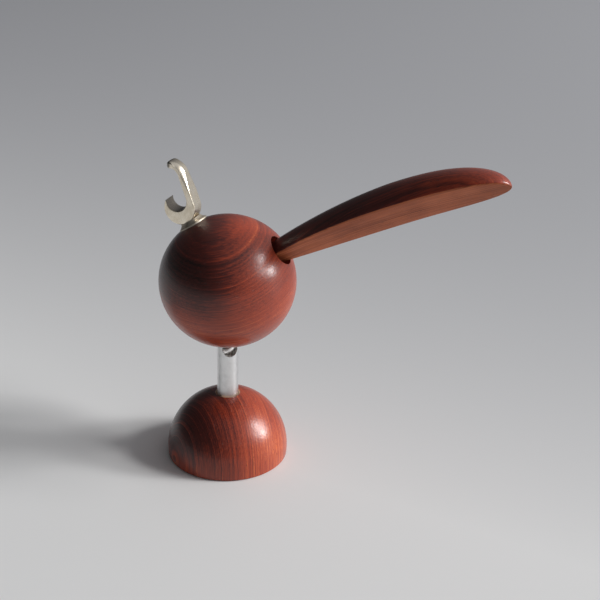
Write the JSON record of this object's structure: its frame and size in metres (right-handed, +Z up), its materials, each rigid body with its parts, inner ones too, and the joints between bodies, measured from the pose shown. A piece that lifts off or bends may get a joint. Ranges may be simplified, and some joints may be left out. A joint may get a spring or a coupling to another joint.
{
  "type": "corkscrew and bottle opener",
  "caption": "Bird-shaped wooden bar tool: ball body with corkscrew leg, crown-cap claw head and arched tail handle, standing in a tube on a domed foot.",
  "frame": {"origin": "centre of the stand's flat underside", "axes": "+Z up along the sheath tube's axis, +X towards the tail handle, the bird's middle plane is XZ and its beak points to -X"},
  "size_m": [0.148, 0.06, 0.1495],
  "materials": {
    "turned_wood": "reddish brown hardwood, glossy varnish",
    "handle_wood": "reddish brown hardwood, semi-gloss back, bare flat side",
    "tube_aluminium": "satin drawn aluminium tube",
    "cast_nickel": "nickel-plated casting, worn satin faces and polished edges",
    "worm_steel": "bright drawn steel wire"
  },
  "bodies": {
    "stand": {"base": "turned_wood"},
    "sheath": {"sheath_tube": "tube_aluminium"},
    "bird": {"body_ball": "turned_wood", "tail_handle": "handle_wood", "opener_claw": "cast_nickel", "claw_collar": "cast_nickel", "corkscrew_worm": "worm_steel"}
  },
  "joints": [
    {"name": "sheath_swivel", "type": "hinge", "parent": "stand", "child": "sheath", "pos_m": [0, 0, 0.02], "axis": [0, 0, 1], "continuous": true},
    {"name": "bird_lift", "type": "slide", "parent": "sheath", "child": "bird", "axis": [0, 0, 1], "range_m": [0, 0.06]}
  ]
}
